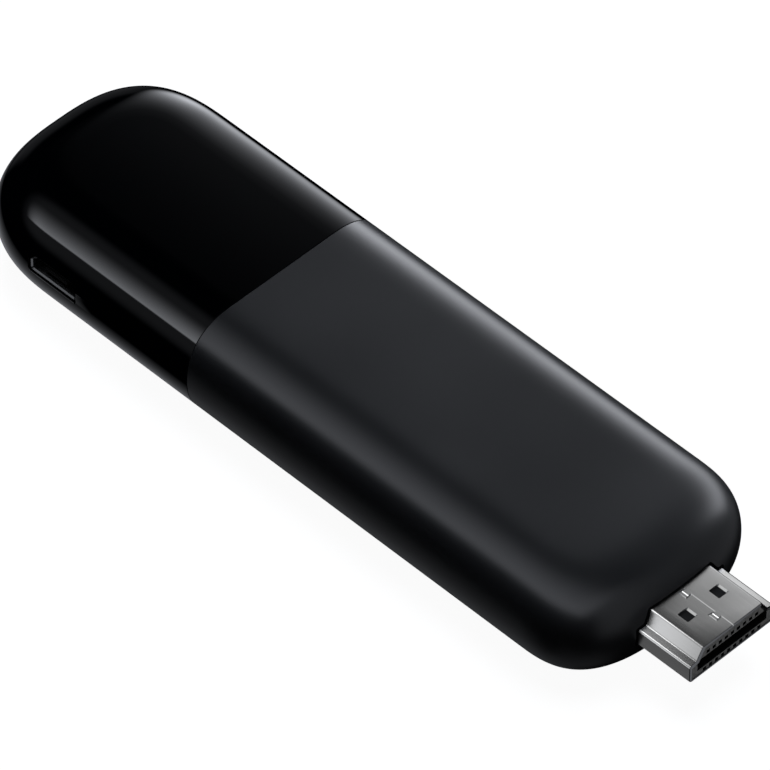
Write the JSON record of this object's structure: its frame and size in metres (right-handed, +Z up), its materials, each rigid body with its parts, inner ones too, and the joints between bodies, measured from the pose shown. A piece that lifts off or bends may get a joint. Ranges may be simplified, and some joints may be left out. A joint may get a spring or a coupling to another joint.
{
  "type": "streaming media player",
  "caption": "Slim rounded stick with a glossy end cap, a matte sleeve, an HDMI type A plug at one end and a micro-USB power socket on one long side.",
  "frame": {"origin": "centre of the footprint, on the flat underside", "axes": "+X along the stick towards the plug's tip, +Z up through its thickness, +Y across, with the power socket on the -Y side near the -X end"},
  "size_m": [0.113, 0.0318, 0.0149],
  "materials": {
    "gloss_shell": "high-gloss moulded black",
    "matte_shell": "fine spark-eroded matte texture, charcoal black",
    "carrier_plastic": "moulded, satin",
    "board_laminate": "glass-epoxy laminate with solder mask",
    "plug_steel": "stamped stainless sheet, fine drawn grain",
    "socket_steel": "stamped stainless sheet",
    "connector_plastic": "glass-filled moulding, black",
    "contact_gold": "gold-flashed copper alloy",
    "tinned_steel": "tin-plated sheet",
    "chip_mould": "moulding compound, fine matte",
    "thermal_pad": "soft filled silicone",
    "spreader_aluminium": "stamped, bead-blasted",
    "screw_steel": "zinc-plated",
    "coil_body": "pressed ferrite",
    "capacitor_ceramic": "sintered ceramic, tinned ends"
  },
  "bodies": {
    "root": {"gloss_end_cap": "gloss_shell", "matte_sleeve": "matte_shell", "inner_carrier": "carrier_plastic", "main_board": "board_laminate", "hdmi_plug_shell": "plug_steel", "hdmi_plug_insulator": "connector_plastic", "hdmi_contacts_upper": "contact_gold", "hdmi_contacts_lower": "contact_gold", "hdmi_plug_bracket": "tinned_steel", "micro_usb_shell": "socket_steel", "micro_usb_tongue": "connector_plastic", "micro_usb_contacts": "contact_gold", "processor_chip": "chip_mould", "memory_chip_top": "chip_mould", "memory_chip_bottom": "chip_mould", "flash_chip": "chip_mould", "power_chip": "chip_mould", "radio_module": "board_laminate", "radio_can": "tinned_steel", "shield_fence_top": "tinned_steel", "shield_lid_top": "tinned_steel", "shield_fence_bottom": "tinned_steel", "shield_lid_bottom": "tinned_steel", "processor_thermal_pad": "thermal_pad", "thermal_pad_top": "thermal_pad", "thermal_pad_bottom": "thermal_pad", "heat_spreader_top": "spreader_aluminium", "heat_spreader_bottom": "spreader_aluminium", "spreader_screws": "screw_steel", "antenna_main": "tinned_steel", "antenna_diversity": "tinned_steel", "clock_crystal": "tinned_steel", "power_inductors": "coil_body", "ceramic_capacitors": "capacitor_ceramic", "surge_protectors": "chip_mould"}
  },
  "joints": []
}
